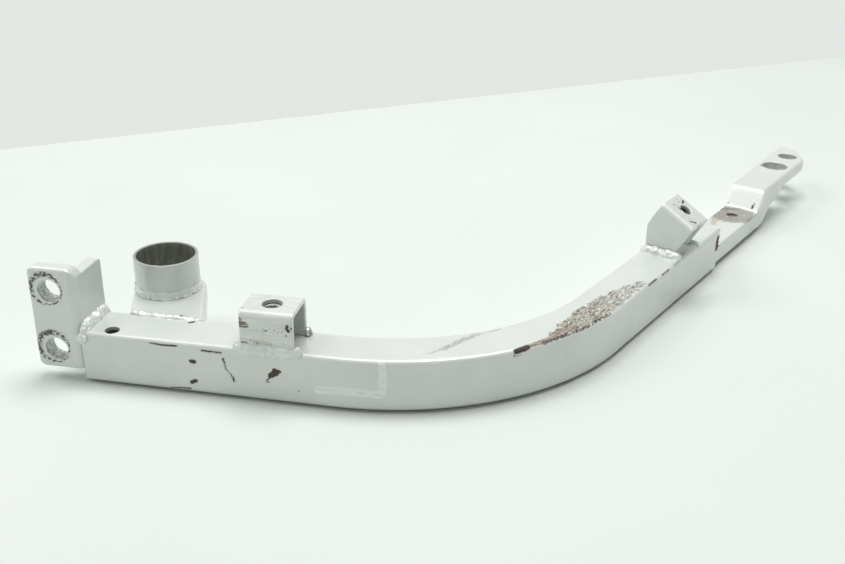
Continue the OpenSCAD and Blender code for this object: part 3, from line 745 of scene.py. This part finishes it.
def pinch(mesh, amount):
    """Draws a ring closer round the stub, by amount millimetres."""
    for v in mesh.vertices:
        out = Vector((v.co.x - STUB_AXIS[0] * MM, v.co.y - STUB_AXIS[1] * MM, 0.0))
        v.co -= out.normalized() * (amount * MM)


def held_in(mesh, node):
    """Keeps each point of a mesh inside the box of its CAD node."""
    low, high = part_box(node)
    for v in mesh.vertices:
        v.co = [min(max(c, a), b) for c, a, b in zip(v.co, low, high)]


def recast(node, slot, material, voxel, rounds, lump=(0.0, 3.0, 0.0), seed=1.0, marks=(), sunk=(0.0, 0.0, 0.0)):
    """Piece that stands for a CAD node, with the softened edges and lumps of the real metal."""
    made = bpy.data.objects.new("soft_" + node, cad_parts[node].data.copy())
    bpy.context.scene.collection.objects.link(made)
    voxels = made.modifiers.new("voxels", "REMESH")
    voxels.mode = "VOXEL"
    voxels.voxel_size = voxel * MM
    soft = made.modifiers.new("soft", "SMOOTH")
    soft.factor = 0.5
    soft.iterations = rounds
    mesh = baked(made)
    if lump[0] > 0.0:
        roughen(mesh, *lump, seed)
    for v in mesh.vertices:
        v.co += Vector(sunk) * MM
    if node == "stub_weld":
        pinch(mesh, 1.1)
    held_in(mesh, node)
    mesh.shade_smooth()
    hold_marks(mesh, marks)
    return settle(made, slot, material, node)


def weld_nut(name, node, slot_name, flats, height, bore, pitch, place, material):
    """Hexagon nut with chamfered corners and a cut thread; place is its frame, z up out of it."""
    sides = 120
    crown = 0.5 * flats * 1.06
    top = height - 0.8
    outer = [(0.0, crown), (0.6, 99.0), (top, 99.0), (height, crown)]
    steps = int(height / pitch * 8)
    points = []
    for z, cap in outer:
        for i in range(sides):
            t = 2 * math.pi * i / sides
            wedge = (t + math.pi / 6) % (math.pi / 3) - math.pi / 6
            r = min(0.5 * flats / math.cos(wedge), cap)
            points.append((r * math.cos(t), r * math.sin(t), z))
    for k in range(steps + 1):
        z = height * (1 - k / steps)
        for i in range(sides):
            t = 2 * math.pi * i / sides
            wave = abs((z / pitch - i / sides) % 1.0 - 0.5) * 2.0
            lead = max(0.0, 1.0 - min(z, height - z) / 0.9) * 0.5
            r = bore + 0.5 * wave + lead
            points.append((r * math.cos(t), r * math.sin(t), z))
    loops = [[k * sides + i for i in range(sides)] for k in range(len(outer) + steps + 1)]
    faces = []
    for first, second in zip(loops, loops[1:]):
        faces += band(first, second, False)
    faces += band(loops[-1], loops[0], False)
    made = new_piece(name, points, faces, 30)
    made.data.transform(place)
    return settle(made, slot_name, material, node)


def nuts():
    u_place = Matrix.Translation(Vector((U_NUT[0], U_NUT[1], U_NUT[2] - 6.5)) * MM)
    weld_nut("thread_nut_large", "u_bracket_nut", "nut_steel", 13.0, 6.5, 3.4, 1.25, u_place, nut_steel("large_nut_zinc", 0.44))
    slope = math.radians(29.7)
    middle = Vector(far(89.3, 15.0 - 10.3 * math.cos(slope), 54.5 - 10.3 * math.sin(slope)))
    turn = Matrix.Rotation(BEND_TURN, 4, "Z") @ Matrix.Rotation(slope, 4, "X")
    under = Matrix.Translation(middle * MM) @ turn @ Matrix.Translation(Vector((0.0, 0.0, -7.3)) * MM)
    weld_nut("thread_nut_small", "angled_bracket_nut", "nut_steel", 10.0, 5.0, 2.5, 1.0, under, nut_steel("small_nut_black", 0.07))


def slope_spot(along, down):
    """Point on the angled bracket's sloping top: along it from the near side, down the slope."""
    slope = math.radians(29.7)
    return far(76.5 + along, 15.0 - down * math.cos(slope), 54.5 - down * math.sin(slope))


def brackets():
    u_marks = {
        "chips": [
            (0.75, (114.9, -0.5, 9.5), (114.6, -0.5, 8.2), (115.4, -0.5, 7.1)),
            (0.60, (116.7, -0.5, 8.5)),
            (0.50, (116.9, -0.5, 13.7)),
            (0.45, (93.2, 3.0, 14.6)),
            (0.30, (92.7, -0.5, -0.8), (95.5, -0.5, -0.6)),
            (0.32, (93.4, -0.5, -4.1), (95.8, -0.5, -3.9)),
        ],
        "stain": [
            (1.2, (98.9, -0.5, -0.1), (102.7, -0.5, 0.1), (106.9, -0.5, -0.7)),
        ],
        # Strokes along which shade is painted inside the bracket, between its flanges.
        "inner": [
            (7.0, (98.0, 19.0, 2.0), (118.0, 19.0, 2.0)),
            (5.0, (98.0, 17.0, 9.0), (118.0, 17.0, 9.0)),
        ],
        "specks": [
            (0.9, (98.0, -0.5, 0.3), (100.3, -0.5, -0.5)),
            (0.8, (113.4, -0.5, 7.6), (114.2, -0.5, 4.7)),
            (1.2, (103.0, -0.5, 5.9), (112.4, -0.5, 7.0)),
        ],
        "bare": [
            (1.3, (92.6, -0.5, 10.6), (92.6, -0.5, 7.6), (95.8, -0.5, 7.8)),
            (0.9, (92.6, -0.5, 9.6), (95.2, -0.5, 9.0)),
        ],
    }
    recast("u_bracket", "bracket_paint", bracket_paint("u_bracket_silver_paint", True), 0.32, 3, marks=u_marks)
    angled_marks = {
        "chips": [
            (0.55, slope_spot(6.0, 17.4), slope_spot(8.6, 19.4)),
            (0.60, slope_spot(16, 6), slope_spot(18.5, 5.2)),
            (0.45, slope_spot(8, 4)),
            (0.45, slope_spot(14.5, 2.3)),
            (0.50, slope_spot(8.6, 8.6), slope_spot(9.4, 7.2)),
        ],
        "specks": [
            (2.2, slope_spot(6, 13), slope_spot(7, 18)),
            (1.8, slope_spot(15, 5), slope_spot(20, 5.5)),
            (1.6, slope_spot(8, 5), slope_spot(10, 7)),
            (0.9, slope_spot(3, 21.0), slope_spot(20, 21.4)),
        ],
    }
    angled_paint = bracket_paint("angled_bracket_silver_paint")
    recast("angled_bracket", "bracket_paint", angled_paint, 0.32, 3, marks=angled_marks)
    tab_marks = {
        "chips": [(0.8, (52.0, 26.0, -5.0), (56.0, 25.0, -5.4)), (0.5, (44.0, 25.5, -4.8))],
        "specks": [(1.0, (50.0, 25.0, -4.8), (57.0, 25.0, -5.0))],
    }
    recast("stub_tab", "bracket_paint", bracket_paint("tab_silver_paint"), 0.40, 4, marks=tab_marks)


def lugs():
    head_marks = {"chips": [(0.5, (12.6, 0.2, 14.0), (12.6, 0.2, 12.0)), (0.7, (8.0, 1.0, -24.6))]}
    recast("head_lug", "lug_paint", head_lug_paint(), 0.36, 12, (0.05, 6.0, 0.0), 3.0, head_marks)
    recast("end_lug", "lug_paint", end_lug_paint(), 0.55, 3, (0.05, 8.0, 0.0), 5.0, end_lug_marks())


def welds():
    """Weld beads: rounds of smoothing, lumps, and how far each is sunk into what it holds."""
    bead = weld_paint()
    looks = {
        "head_weld": (26, (0.55, 2.6, 0.15), (-0.4, 0.0, -0.4)),
        "u_front_weld": (50, (0.50, 3.4, 0.60), (0.0, 0.6, -0.2)),
        "angled_near_weld": (40, (0.50, 4.4, 0.20), (0.0, 0.0, -0.7)),
        "stub_weld": (34, (0.40, 3.4, 1.30), (0.0, 0.0, -0.9)),
        "tab_weld": (30, (0.60, 4.4, 0.15), (0.0, 0.0, -0.4)),
        "head_back_weld": (12, (0.25, 2.4, 0.0), (0.0, 0.0, 0.0)),
        "u_rear_weld": (8, (0.25, 2.4, 0.0), (0.0, 0.0, 0.0)),
        "angled_far_weld": (20, (0.35, 2.8, 0.1), (0.0, 0.0, -0.3)),
        "end_weld": (10, (0.20, 2.0, 0.0), (0.0, 0.0, 0.0)),
    }
    marks = {
        "rust": [(1.9, far(131.4, -0.5, 13.6), far(131.6, -0.5, 21.0))],
        "bare": [(3.4, (118.4, 18.6, -3.2), (112.0, 24.0, -3.2))],
        # Where a highlight is painted on the U bracket's front weld.
        "weld_glint": [(1.6, (108.2, -1.8, -1.7), (111.9, -1.8, -2.3))],
        "stain": [(0.9, (103.0, -1.6, -0.8), (106.8, -1.6, -1.2))],
    }
    for i, node in enumerate(looks):
        rounds, lump, sunk = looks[node]
        recast(node, "weld_metal", bead, 0.28, rounds, lump, 7.0 + i, marks, sunk)


# Stage, light and camera


def floor_finish():
    finish = Finish("pale_floor")
    cloud = finish.noise(160.0, 2.0, 0.5)
    tint = finish.colour(cloud.rise(0.2, 0.8), (0.765, 0.80, 0.765), (0.79, 0.825, 0.79))
    return finish.feed(Base_Color=tint, Roughness=0.6, Specular_IOR_Level=0.2)


def stage():
    """Pale floor whose far edge is the fold behind the object."""
    corners = [(-2500.0, -2500.0), (2500.0, -2500.0), (3000.0, 2637.0), (-2500.0, -1319.0)]
    points = [(x, y, FLOOR_Z - STAGE_GAP) for x, y in corners]
    mesh = bpy.data.meshes.new("floor")
    mesh.from_pydata([tuple(c * MM for c in p) for p in points], [], [(0, 1, 2, 3)])
    floor = bpy.data.objects.new("floor", mesh)
    bpy.context.scene.collection.objects.link(floor)
    mesh.materials.append(floor_finish())


def softbox(name, place, aim, size, power):
    light = bpy.data.lights.new(name, "AREA")
    light.shape = "RECTANGLE"
    light.size = size[0]
    light.size_y = size[1]
    light.energy = power
    made = bpy.data.objects.new(name, light)
    made.location = place
    made.rotation_mode = "QUATERNION"
    made.rotation_quaternion = (Vector(aim) - Vector(place)).to_track_quat("-Z", "Y")
    bpy.context.scene.collection.objects.link(made)


def lighting():
    softbox("overhead", (0.33, 0.42, 1.9), (0.19, 0.18, 0.0), (1.1, 1.0), 26.0)
    softbox("left_side", (-0.90, 0.0, 1.30), (0.22, 0.18, 0.0), (0.8, 0.8), 6.0)
    world = bpy.data.worlds.new("studio")
    bpy.context.scene.world = world
    world.use_nodes = True
    tree = world.node_tree
    back = tree.nodes["Background"]
    back.inputs["Color"].default_value = (0.965, 1.0, 0.965, 1.0)
    path = tree.nodes.new("ShaderNodeLightPath")
    seen = tree.nodes.new("ShaderNodeMath")
    seen.operation = "MAXIMUM"
    tree.links.new(path.outputs["Is Camera Ray"], seen.inputs[0])
    tree.links.new(path.outputs["Is Glossy Ray"], seen.inputs[1])
    towards = tree.nodes.new("ShaderNodeTexCoord")
    rightward = tree.nodes.new("ShaderNodeVectorMath")
    rightward.operation = "DOT_PRODUCT"
    rightward.inputs[1].default_value = (0.86, -0.50, 0.0)
    tree.links.new(towards.outputs["Generated"], rightward.inputs[0])
    dimmer = tree.nodes.new("ShaderNodeMapRange")
    dimmer.inputs["From Min"].default_value = -0.9
    dimmer.inputs["From Max"].default_value = 0.9
    dimmer.inputs["To Min"].default_value = 0.62
    dimmer.inputs["To Max"].default_value = 0.12
    tree.links.new(rightward.outputs["Value"], dimmer.inputs["Value"])
    level = tree.nodes.new("ShaderNodeMapRange")
    level.inputs["To Max"].default_value = 0.80
    tree.links.new(dimmer.outputs[0], level.inputs["To Min"])
    tree.links.new(seen.outputs[0], level.inputs["Value"])
    tree.links.new(level.outputs[0], back.inputs["Strength"])


def camera():
    """Camera at the photograph's angle."""
    right = Vector((0.98114, 0.19298, 0.01108))
    up = Vector((-0.09058, 0.40836, 0.90832))
    behind = Vector((0.17076, -0.89218, 0.41814))
    lens = bpy.data.cameras.new("camera")
    lens.lens = 45.353
    lens.sensor_width = 36.0
    lens.clip_start = 0.01
    made = bpy.data.objects.new("camera", lens)
    turn = Matrix((right, up, behind)).transposed().to_4x4()
    made.matrix_world = Matrix.Translation((0.25326, -0.40384, 0.22647)) @ turn
    bpy.context.scene.collection.objects.link(made)
    bpy.context.scene.camera = made


main_tube()
cross_tube_stub()
nuts()
brackets()
lugs()
welds()
stage()
lighting()
camera()
bpy.context.scene.view_settings.view_transform = "Standard"
